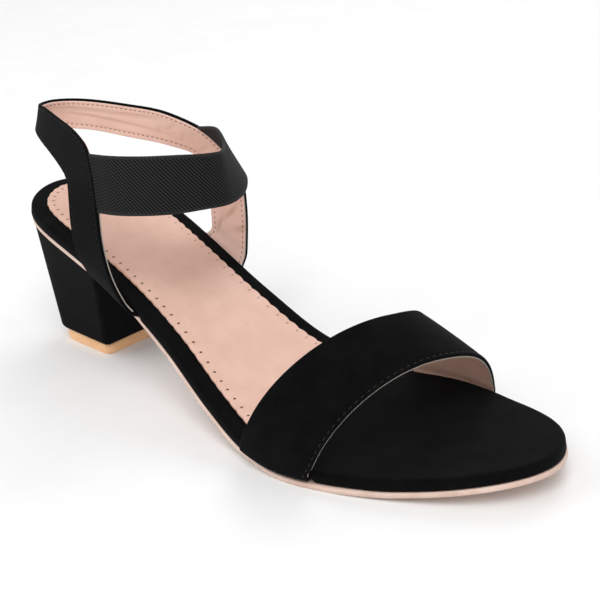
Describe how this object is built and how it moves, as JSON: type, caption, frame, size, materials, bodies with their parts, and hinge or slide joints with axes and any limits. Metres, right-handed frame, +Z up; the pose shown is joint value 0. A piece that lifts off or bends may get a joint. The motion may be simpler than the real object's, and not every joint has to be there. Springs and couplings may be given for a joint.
{
  "type": "mid heel sandal",
  "caption": "Right-foot open-toe sandal on a tapered block heel, with a wide toe strap, a heel strap and an elastic band over the instep.",
  "frame": {"origin": "on the floor, under the middle of the shoe's length and width", "axes": "+X from the heel to the toe, +Y to the inner side of the foot, +Z up"},
  "size_m": [0.2414, 0.0944, 0.1011],
  "materials": {
    "sole_nude": "smooth matt sole sheet",
    "suede_black": "soft nap",
    "lining_rose": "soft satin lining leather",
    "lift_tan": "hard matt top piece",
    "elastic_charcoal": "ribbed twill webbing"
  },
  "bodies": {
    "root": {"outsole": "sole_nude", "footbed": "suede_black", "insole": "lining_rose", "heel_block": "suede_black", "heel_lift": "lift_tan", "toe_strap": "suede_black", "back_strap": "suede_black", "elastic_band": "elastic_charcoal"}
  },
  "joints": []
}
